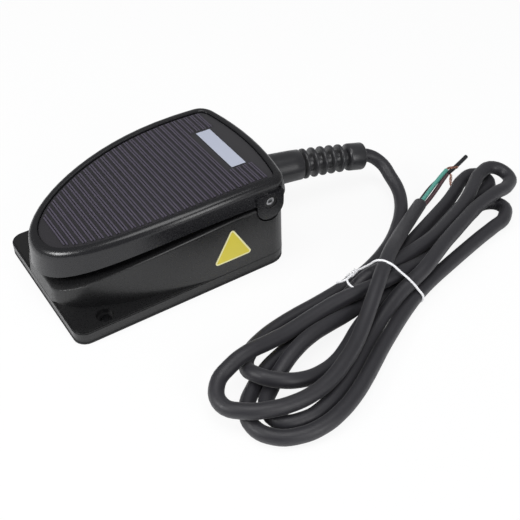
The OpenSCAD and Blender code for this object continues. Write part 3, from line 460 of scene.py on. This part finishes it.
class Finishes(Enum):
    """Every finish on the foot switch, by its real material."""

    # Black ABS from a spark-textured mould: a fine satin grain with soft highlights.
    ABS_BLACK = Finish("abs_textured_black", "141415", 0.3, 1.53, grain=0.7, depth=0.007, drift=0.06)
    # The same ABS where the mould was polished, as on the pedal's rim.
    ABS_PEDAL = Finish("abs_satin_black", "141417", 0.25, 1.53, grain=0.7, depth=0.005, drift=0.06)
    # Nitrile rubber mat, moulded: purplish black and grainy, its ridge crests painted paler than
    # its grooves as a painted highlight.
    NITRILE_MAT = CrestHighlightRubber("nitrile_rubber_mat", "131017", 0.44, 1.52, grain=0.55, depth=0.05,
                                drift=0.16, sheen=0.2, crest_highlight="453e4f")
    # Neoprene foot pad: dead matt.
    NEOPRENE = Finish("neoprene_pad", "1d1d1e", 0.75, 1.52, grain=0.8, depth=0.05)
    # Soft PVC boot, moulded: satin, a little greyer than the case.
    PVC_BOOT = SoftSheen("soft_pvc_boot", "232326", 0.33, 1.54, grain=0.8, depth=0.02, drift=0.1)
    # Extruded PVC sheath: smooth satin, very slightly uneven.
    PVC_SHEATH = SoftSheen("pvc_sheath_black", "1c1b21", 0.5, 1.54, grain=1.4, depth=0.02, drift=0.14)
    # Extruded PVC on the cores: smooth, brighter than the sheath, each in its own colour.
    PVC_GREEN = Finish("pvc_core_green", "5a9f92", 0.38, 1.54, grain=0.7, depth=0.01)
    PVC_BLACK = Finish("pvc_core_black", "202023", 0.36, 1.54, grain=0.7, depth=0.01)
    PVC_BROWN = Finish("pvc_core_maroon", "5b4448", 0.4, 1.54, grain=0.7, depth=0.01)
    # Bare annealed copper wire, slightly dulled.
    COPPER = Finish("annealed_copper", "c39582", 0.42, 1.5, 1.0, grain=0.5, depth=0.01, drift=0.2)
    # Zinc-plated mild steel: pale, slightly clouded.
    ZINC = Finish("zinc_plated_steel", "b8babd", 0.34, 1.5, 1.0, grain=0.5, depth=0.006, drift=0.1)
    # Ground stainless pin, turned ends: bright, with its grain drawn out along the pin.
    STAINLESS = Finish("ground_stainless", "e4e4e6", 0.3, 1.5, 1.0, grain=0.4, depth=0.004,
                       drift=0.06, stretch=(0.2, 1.0, 1.0))
    # Black oxide on turned steel: dark, with a dull metal gleam.
    BLACK_OXIDE = Finish("black_oxide_steel", "2c2c2e", 0.42, 1.5, 1.0, grain=0.5, depth=0.006)
    # Spring wire, drawn: a clean grey gleam.
    SPRING_STEEL = Finish("spring_wire", "a9aaad", 0.3, 1.5, 1.0, grain=0.5, depth=0.006)
    # Powder coated steel plate: black, matt and faintly pebbled.
    POWDER_COAT = Finish("powder_coated_steel", "1c1c1d", 0.5, 1.5, grain=0.6, depth=0.03)
    # Tinned brass blades, stamped: yellowish and fairly bright.
    BRASS = Finish("tinned_brass", "c9a863", 0.3, 1.5, 1.0, grain=0.5, depth=0.006)
    # Phenolic switch body, moulded: brownish black with a hard gloss.
    PHENOLIC = Finish("phenolic_black", "1f1a1a", 0.32, 1.6, grain=0.6, depth=0.01)
    # Acetal, moulded: slippery and semi-gloss, red for the plunger and milky for the rest.
    PLUNGER_RED = Finish("acetal_red", "a8341f", 0.3, 1.48, grain=0.6, depth=0.006)
    ACETAL = Finish("acetal_natural", "dedbd2", 0.34, 1.48, grain=0.6, depth=0.006, drift=0.04)
    # Polyethylene-covered tie wire: bright white and waxy.
    TIE_WHITE = Finish("polyethylene_tie", "f4f4f6", 0.35, 1.51, grain=0.6, depth=0.006, drift=0.02)
    # Printed vinyl film: warm yellow, satin, with a paler margin.
    VINYL_YELLOW = Finish("vinyl_yellow", "e3d342", 0.34, 1.5, grain=0.6, depth=0.004, drift=0.03)
    VINYL_PALE = Finish("vinyl_pale_yellow", "f3edb6", 0.34, 1.5, grain=0.6, depth=0.004, drift=0.03)
    # Matt silver polyester film.
    LABEL_FILM = Finish("polyester_label", "b6bbcb", 0.36, 1.55, grain=0.5, depth=0.006, drift=0.03)

    def paint(self, *pieces: bpy.types.Object) -> None:
        """Gives this finish to each piece or carried-over solid.

        Args:
            *pieces: The pieces.
        """
        material = self.value.material()
        for piece in pieces:
            if len(piece.material_slots) == 0:
                piece.data.materials.append(material)
            for slot in piece.material_slots:
                slot.material = material


def paint_nodes(finish: Finishes, *names: str) -> None:
    """Gives a finish to solids that keep their own meshes, and reports each.

    Args:
        finish: The finish.
        *names: The solids' names.
    """
    for name in names:
        finish.paint(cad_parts[name])
        LOG.info("solid %s: %s", name, finish.value.name)


def dress(piece: bpy.types.Object, finish: Finishes, body: Body) -> bpy.types.Object:
    """Paints a piece, lets it ride on its body and reports it.

    Args:
        piece: The piece.
        finish: Its finish.
        body: The body that it rides on.

    Returns:
        The same piece.
    """
    finish.paint(piece)
    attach(piece, body.value)
    LOG.info("piece %s: %s", piece.name, finish.value.name)
    return piece


# ---------------------------------------------------------------- camera, light and floor


@dataclass
class Studio:
    """Camera, soft boxes and pale floor."""

    azimuth: float = 56.8
    elevation: float = 42.0
    lens: float = 62.42
    sensor: float = 36.0            # mm
    eye: Point = (357.80, -161.33, 341.33)
    aim: Point = (0.04, 0.05, 0.02)  # metres, where the soft boxes point
    fill: float = 0.32              # strength of the soft light from all round
    mirrored: float = 0.28          # strength of what glossy surfaces mirror
    floor_size: float = 8.0         # metres
    floor_drop: float = 0.0002      # metres that the floor lies below the foot pad
    floor_glow: float = 0.9         # share of plain white that the camera sees in the floor

    def place_camera(self) -> None:
        """Adds the camera at its viewing angle."""
        deselect()
        bpy.ops.object.camera_add(
            location=metres(self.eye),
            rotation=(math.radians(90 - self.elevation), 0, math.radians(self.azimuth)))
        camera = bpy.context.object
        camera.name = "studio_camera"
        camera.data.lens = self.lens
        camera.data.sensor_width = self.sensor
        camera.data.clip_start = 0.01
        camera.data.dof.use_dof = False
        bpy.context.scene.camera = camera

    def soft_box(self, name: str, place: Point, size: tuple[float, float],
                 power: float) -> None:
        """Adds a rectangular soft box that faces the foot switch.

        Args:
            name: The lamp's name.
            place: Where it hangs, in metres.
            size: Width and height in metres.
            power: Radiant power in watts.
        """
        deselect()
        bpy.ops.object.light_add(type="AREA", location=place)
        lamp = bpy.context.object
        lamp.name = name
        lamp.data.shape = "RECTANGLE"
        lamp.data.size, lamp.data.size_y = size
        lamp.data.energy = power
        towards = Vector(self.aim) - Vector(place)
        lamp.rotation_euler = towards.to_track_quat("-Z", "Y").to_euler()

    def light_it(self) -> None:
        """Hangs the soft boxes and sets the world."""
        self.soft_box("box_overhead", (0.1, -0.02, 1.0), (0.75, 0.6), 4.6)
        self.soft_box("box_side", (0.95, 0.15, 0.45), (0.4, 0.6), 3.4)
        self.soft_box("box_toe", (-0.12, -0.9, 0.62), (0.4, 0.3), 5.4)
        world = bpy.data.worlds.new("white_studio")
        bpy.context.scene.world = world
        world.use_nodes = True
        tree = world.node_tree
        tree.nodes.clear()
        rays = add_node(tree, "LightPath")
        seen = add_node(tree, "Math", {"operation": "MAXIMUM"},
                        {FIRST: rays.outputs["Is Camera Ray"],
                         SECOND: rays.outputs["Is Transmission Ray"]})
        fill = add_node(tree, "Background", {"Color": linear("f4f6fa"), "Strength": self.fill})
        white = add_node(tree, "Background", {"Color": (1, 1, 1, 1), "Strength": 1.0})
        mirror = add_node(tree, "Background", {"Color": (1, 1, 1, 1), "Strength": self.mirrored})
        first = add_node(tree, "MixShader", {}, {"Fac": rays.outputs["Is Glossy Ray"],
                                                 SHADER_A: fill.outputs[0],
                                                 SHADER_B: mirror.outputs[0]})
        mixed = add_node(tree, "MixShader", {}, {"Fac": seen.outputs[0],
                                                 SHADER_A: first.outputs[0],
                                                 SHADER_B: white.outputs[0]})
        add_node(tree, "OutputWorld", {}, {"Surface": mixed.outputs[0]})

    def lay_floor(self) -> None:
        """Lays a pale floor that keeps the shadow and melts into the white."""
        deselect()
        bpy.ops.mesh.primitive_plane_add(size=self.floor_size, location=(0, 0, -self.floor_drop))
        floor = bpy.context.object
        floor.name = "studio_floor"
        material = bpy.data.materials.new("matt_white_paper")
        material.use_nodes = True
        tree = material.node_tree
        tree.nodes.clear()
        rays = add_node(tree, "LightPath")
        paper = add_node(tree, "BsdfDiffuse", {"Color": (0.93, 0.93, 0.93, 1)})
        glow = add_node(tree, "Emission", {"Color": (1, 1, 1, 1), "Strength": 1.0})
        share = add_node(tree, "Math", {"operation": "MULTIPLY", SECOND: self.floor_glow},
                         {FIRST: rays.outputs["Is Camera Ray"]})
        mixed = add_node(tree, "MixShader", {}, {"Fac": share.outputs[0],
                                                 SHADER_A: paper.outputs[0],
                                                 SHADER_B: glow.outputs[0]})
        add_node(tree, "OutputMaterial", {}, {"Surface": mixed.outputs[0]})
        floor.data.materials.append(material)

    def build(self) -> None:
        """Sets the whole studio."""
        self.place_camera()
        self.light_it()
        self.lay_floor()
        bpy.context.scene.view_settings.view_transform = "Standard"
        LOG.info("studio set")


# ---------------------------------------------------------------- lead


@dataclass
class Lead:
    """The boot, the sheathed lead, its stripped cores and the tie round the hank."""

    diameter: float = 8.0
    wall: Point = (0.0, 66.75, 25.0)
    boot_axis: tuple[Point, ...] = (
        (0.0, 67.05, 25.0), (1.01, 78.28, 24.9), (3.1, 90.14, 24.56), (5.12, 100.19, 24.04),
        (8.09, 114.54, 22.88), (10.65, 126.74, 21.45), (12.17, 134.01, 20.38), (13.8, 141.77, 19.04))
    boot_sides: int = 40
    boot_short: float = 3.6     # mm that the boot ends before the lead turns down
    boot_core: float = 4.9      # mm, radius between the discs
    discs: int = 5
    disc_start: float = 36.9    # mm along the boot to the first disc
    disc_pitch: float = 6.3
    disc_radius: float = 9.1
    disc_taper: float = 0.16    # mm that each disc is smaller than the one before
    lift: float = 0.3           # mm that keeps the smooth curve between its points off the floor
    core_radius: float = 1.3
    wires: int = 7              # bare wires in each tuft
    wire_radius: float = 0.2
    wire_low: float = 0.4       # mm, the lowest that a wire's middle lies
    tuft_radius: float = 0.42   # mm, half the width of a tuft where it starts
    tuft_spread: float = 0.12   # mm that it widens at each point
    tuft_turn: float = 0.9      # radians that it turns at each point
    tuft_share: float = 0.6     # share of its width that it sways lengthwise
    tie_radius: float = 0.66
    knot: Point = (87.6, 77.2, 12.6)
    knot_way: Point = (4.6, -8.2, 3.4)
    twist_points: int = 9
    twist_step: float = 1.05    # mm along the twist between points
    twist_turn: float = 1.05    # radians round it between points
    twist_reach: float = 0.85   # mm from the middle of the twist to each end's wire
    end_radius: float = 0.6
    made: list[bpy.types.Object] = field(default_factory=list)

    def keep(self, piece: bpy.types.Object, finish: Finishes) -> bpy.types.Object:
        """Dresses a piece of the lead and keeps it on the list.

        Args:
            piece: The piece.
            finish: Its finish.

        Returns:
            The same piece.
        """
        self.made.append(dress(piece, finish, Body.CASE))
        return piece

    def boot_profile(self) -> list[Ring]:
        """Works out the boot's rings.

        Returns:
            Radius and distance along the boot, from inside the wall to the collar, in mm.
        """
        profile = list(BOOT_BARREL)
        core = self.boot_core
        for k in range(self.discs):
            outer = self.disc_radius - self.disc_taper * k
            at = self.disc_start + self.disc_pitch * k
            profile += [(core, at - 1.9), (core + 0.2, at - 1.2), (outer - 0.4, at - 1.0),
                        (outer - 0.08, at - 0.65), (outer, at), (outer - 0.08, at + 0.65),
                        (outer - 0.4, at + 1.0), (core + 0.2, at + 1.2)]
        at = self.disc_start + self.disc_pitch * self.discs
        profile += [(radius, at + along) for radius, along in BOOT_COLLAR]
        return profile

    def first_run(self) -> list[Vector]:
        """Returns the lead's places inside the boot, from the wall on, in metres."""
        return [metres(self.wall)] + [metres(p) for p in self.boot_axis[1:-1]]

    def build_boot(self) -> bpy.types.Object:
        """Turns the boot and bends it along its sagging axis."""
        piece = turned("boot", self.boot_profile(), self.boot_sides)
        line = smooth_line([metres(p) for p in self.boot_axis], 8)
        reach = [0.0]
        for a, b in zip(line, line[1:]):
            reach.append(reach[-1] + (b - a).length)
        profile_end = max(height for _, height in self.boot_profile()) * MM
        stretch = (reach[-1] - self.boot_short * MM) / profile_end
        for vertex in piece.data.vertices:
            if vertex.co.z <= 0:
                vertex.co = line[0] + Vector((-vertex.co.x, vertex.co.z, vertex.co.y))
                continue
            along = min(max(vertex.co.z * stretch, 0.0), reach[-1] - 1e-9)
            i = next(k for k in range(len(reach) - 1) if reach[k + 1] > along)
            share = (along - reach[i]) / (reach[i + 1] - reach[i])
            centre = line[i].lerp(line[i + 1], share)
            ahead = (line[min(i + 2, len(line) - 1)] - line[max(i - 1, 0)]).normalized()
            side = ahead.cross(Vector((0, 0, 1))).normalized()
            up = side.cross(ahead)
            vertex.co = centre + side * vertex.co.x + up * vertex.co.y
        pick(piece)
        bpy.ops.object.mode_set(mode="EDIT")
        bpy.ops.mesh.select_all(action="SELECT")
        bpy.ops.mesh.normals_make_consistent(inside=False)
        bpy.ops.object.mode_set(mode="OBJECT")
        smooth(piece, 40)
        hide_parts("cord_boot")
        return self.keep(piece, Finishes.PVC_BOOT)

    def build_sheath(self) -> bpy.types.Object:
        """Lays the sheathed lead along its whole route, from the wall on."""
        raised = Vector((0, 0, self.lift * MM))
        run = self.first_run() + [metres(p) + raised for p in LEAD_ROUTE]
        piece = strand("lead_sheath", [run], self.diameter / 2, 6)
        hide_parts("cord_lead", "cord_hank", "cord_tail")
        return self.keep(piece, Finishes.PVC_SHEATH)

    def build_cores(self) -> None:
        """Adds the stripped cores that stick out of the sheath."""
        for name, points, node, finish in (
                ("core_green_run", GREEN_CORE, "core_green", Finishes.PVC_GREEN),
                ("core_maroon_run", MAROON_CORE, "core_red", Finishes.PVC_BROWN),
                ("core_black_run", BLACK_CORE, "core_black", Finishes.PVC_BLACK)):
            piece = strand(name, [[metres(p) for p in points]], self.core_radius, 4)
            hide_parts(node)
            self.keep(piece, finish)

    def wire_place(self, point: Point, j: int, turn: float) -> Vector:
        """Works out where one wire of a tuft lies at a point of the tuft.

        Args:
            point: The tuft's middle, in mm.
            j: The point's number along the tuft.
            turn: Where round the tuft the wire starts, in radians.

        Returns:
            The wire's place, in metres.
        """
        spread = self.tuft_radius + self.tuft_spread * j
        a = turn + self.tuft_turn * j
        return metres((point[0] + spread * math.cos(a),
                       point[1] + self.tuft_share * spread * math.sin(2 * a),
                       max(point[2] + spread * math.sin(a), self.wire_low)))

    def build_copper(self) -> None:
        """Adds the bare copper wires at the ends of the cores."""
        runs = [[self.wire_place(p, j, 2 * math.pi * k / self.wires) for j, p in enumerate(tuft)]
                for tuft in COPPER_TUFTS for k in range(self.wires)]
        piece = strand("copper_wires", runs, self.wire_radius, 2)
        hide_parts("copper_strands")
        self.keep(piece, Finishes.COPPER)

    def build_tie(self) -> None:
        """Wraps the wire tie round the hank's waist, with its twisted ends."""
        ring = strand("tie_loop", [[metres(p) for p in TIE_LOOP]], self.tie_radius, 4, cyclic=True)
        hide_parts("hank_tie")
        self.keep(ring, Finishes.TIE_WHITE)
        base = Vector(self.knot)
        ahead = Vector(self.knot_way).normalized()
        side = ahead.cross(Vector((0, 0, 1))).normalized()
        up = side.cross(ahead)
        runs = []
        for turn, tail in zip((0.0, math.pi), TIE_TAILS):
            run = []
            for j in range(self.twist_points):
                a = turn + j * self.twist_turn
                run.append((base + ahead * (j * self.twist_step)
                            + (side * math.cos(a) + up * math.sin(a)) * self.twist_reach) * MM)
            runs.append(run + [metres(p) for p in tail])
        ends = strand("tie_ends", runs, self.end_radius, 4)
        self.keep(ends, Finishes.TIE_WHITE)

    def build(self) -> None:
        sheath = self.build_sheath()
        self.build_boot()
        self.build_cores()
        self.build_copper()
        self.build_tie()


# ---------------------------------------------------------------- case


@dataclass
class Case:
    """The moulded case, its base and its fixings."""

    edge: float = 0.35          # mm, softened width of the moulded edges
    pin_edge: float = 0.15
    sharp: float = 40.0         # degrees past which an edge of the pin or the spring is crisp
    margin: float = 0.9         # mm of paler film round the triangle
    socket_reach: float = 1.9   # mm from the pin's axis to outside its hexagon socket
    rim_depth: float = 0.5      # mm at the pin's ends that stay where they are
    socket_more: float = 3.0    # mm by which each socket's floor is sunk further
    pedal_travel: float = 2.0   # degrees
    outward: float = 0.8        # a face of the film looks outwards past this share of X

    def build_housing(self) -> None:
        """Softens the moulded housing."""
        piece = softened_copy("case", "case_moulding", self.edge)
        dress(piece, Finishes.ABS_BLACK, Body.CASE)

    def build_pin(self) -> None:
        """Softens the hinge pin and gives its hexagon sockets their full depth."""
        pin = softened_copy("hinge_pin", "hinge_pin_ground", self.pin_edge, self.sharp)
        low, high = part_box("hinge_pin")
        centre_y, centre_z = (low[1] + high[1]) / 2, (low[2] + high[2]) / 2
        for vertex in pin.data.vertices:
            out = math.hypot(vertex.co.y - centre_y, vertex.co.z - centre_z)
            if out < self.socket_reach * MM and abs(vertex.co.x) < high[0] - self.rim_depth * MM:
                vertex.co.x -= math.copysign(self.socket_more * MM, vertex.co.x)
        dress(pin, Finishes.STAINLESS, Body.CASE)

    def build_spring(self) -> None:
        """Gives the return spring its wire finish and a mesh of its own."""
        spring = softened_copy("return_spring", "return_spring_wire", 0.0, self.sharp)
        dress(spring, Finishes.SPRING_STEEL, Body.CASE)
        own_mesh(spring)

    def build_triangle(self) -> None:
        """Gives the blank yellow triangle its paler margin."""
        piece = softened_copy("warning_triangle", "blank_triangle", 0.0)
        dress(piece, Finishes.VINYL_PALE, Body.CASE)
        piece.data.materials.append(Finishes.VINYL_YELLOW.value.material())
        pick(piece)
        bpy.ops.object.mode_set(mode="EDIT")
        bpy.ops.mesh.select_all(action="DESELECT")
        bpy.ops.mesh.select_mode(type="FACE")
        mesh = bmesh.from_edit_mesh(piece.data)
        for face in mesh.faces:
            face.select_set(face.normal.x > self.outward)
        bmesh.update_edit_mesh(piece.data)
        bpy.ops.mesh.inset(thickness=self.margin * MM, depth=0)
        piece.active_material_index = 1
        bpy.ops.object.material_slot_assign()
        bpy.ops.object.mode_set(mode="OBJECT")

    def build(self) -> None:
        """Builds the case and dresses its carried-over solids."""
        self.build_housing()
        self.build_pin()
        self.build_spring()
        self.build_triangle()
        paint_nodes(Finishes.POWDER_COAT, "bottom_plate")
        paint_nodes(Finishes.BLACK_OXIDE, "mount_sleeves")
        paint_nodes(Finishes.NEOPRENE, "foot_pad", "plate_seal", "stop_bumpers")
        paint_nodes(Finishes.ZINC, "plate_screws", "switch_bracket", "bracket_screws",
                    "switch_screws", "spring_guide", "clamp_screws")
        paint_nodes(Finishes.ABS_BLACK, "cable_clamp")
        paint_nodes(Finishes.PVC_SHEATH, "inner_sheath", "inner_cores")
        paint_nodes(Finishes.PHENOLIC, "switch_body")
        paint_nodes(Finishes.BRASS, "switch_terminals")
        paint_nodes(Finishes.PLUNGER_RED, "switch_plunger")
        paint_nodes(Finishes.SPRING_STEEL, "switch_lever", "roller_pin")
        paint_nodes(Finishes.ACETAL, "lever_roller", "spring_cup", "striker")
        paint_nodes(Finishes.ABS_BLACK, "hinge_bushes")


# ---------------------------------------------------------------- pedal


@dataclass
class Pedal:
    """The pedal's shell, its tread mat and its blank label."""

    crown_top: float = 54.3         # mm, height of the long curve of the top
    crown_at: float = 36.85         # mm along Y, where that curve is highest
    crown_radius: float = 305.0
    mat_below: float = 1.3          # mm from the curve down to the grooves of the mat
    ridge_height: float = 0.7
    shell_edge: float = 0.3         # mm, softened width of each piece's edges
    mat_edge: float = 0.14
    label_edge: float = 0.12
    shell_sharp: float = 34.0       # degrees past which an edge is softened
    sharp: float = 40.0             # the same for the mat and the label

    def mark_crests(self, mat: bpy.types.Object) -> None:
        """Marks how far each point of the mat stands up its ridge, from 0 to 1.

        Args:
            mat: The mat.
        """
        marks = mat.data.attributes.new(CREST, "FLOAT", "POINT")
        for vertex in mat.data.vertices:
            past = vertex.co.y / MM - self.crown_at
            crown = self.crown_top - past ** 2 / (2 * self.crown_radius)
            rise = (vertex.co.z / MM - crown + self.mat_below) / self.ridge_height
            marks.data[vertex.index].value = min(max(rise, 0.0), 1.0)

    def build(self) -> None:
        """Builds the pedal's pieces and dresses them."""
        shell = softened_copy("pedal_shell", "pedal_moulding", self.shell_edge, self.shell_sharp)
        dress(shell, Finishes.ABS_PEDAL, Body.PEDAL)
        mat = softened_copy("tread_mat", "tread_mat_moulding", self.mat_edge, self.sharp, 1)
        # the crest marks set where the mat's painted highlight falls
        self.mark_crests(mat)
        dress(mat, Finishes.NITRILE_MAT, Body.PEDAL)
        label = softened_copy("rating_label", "label_plate", self.label_edge, self.sharp)
        dress(label, Finishes.LABEL_FILM, Body.PEDAL)


def main() -> None:
    """Builds the studio and the foot switch in order."""
    logging.basicConfig(level=logging.INFO, format="%(name)s: %(message)s")
    Studio().build()
    Lead().build()
    Case().build()
    Pedal().build()


if __name__ == "__main__":
    main()
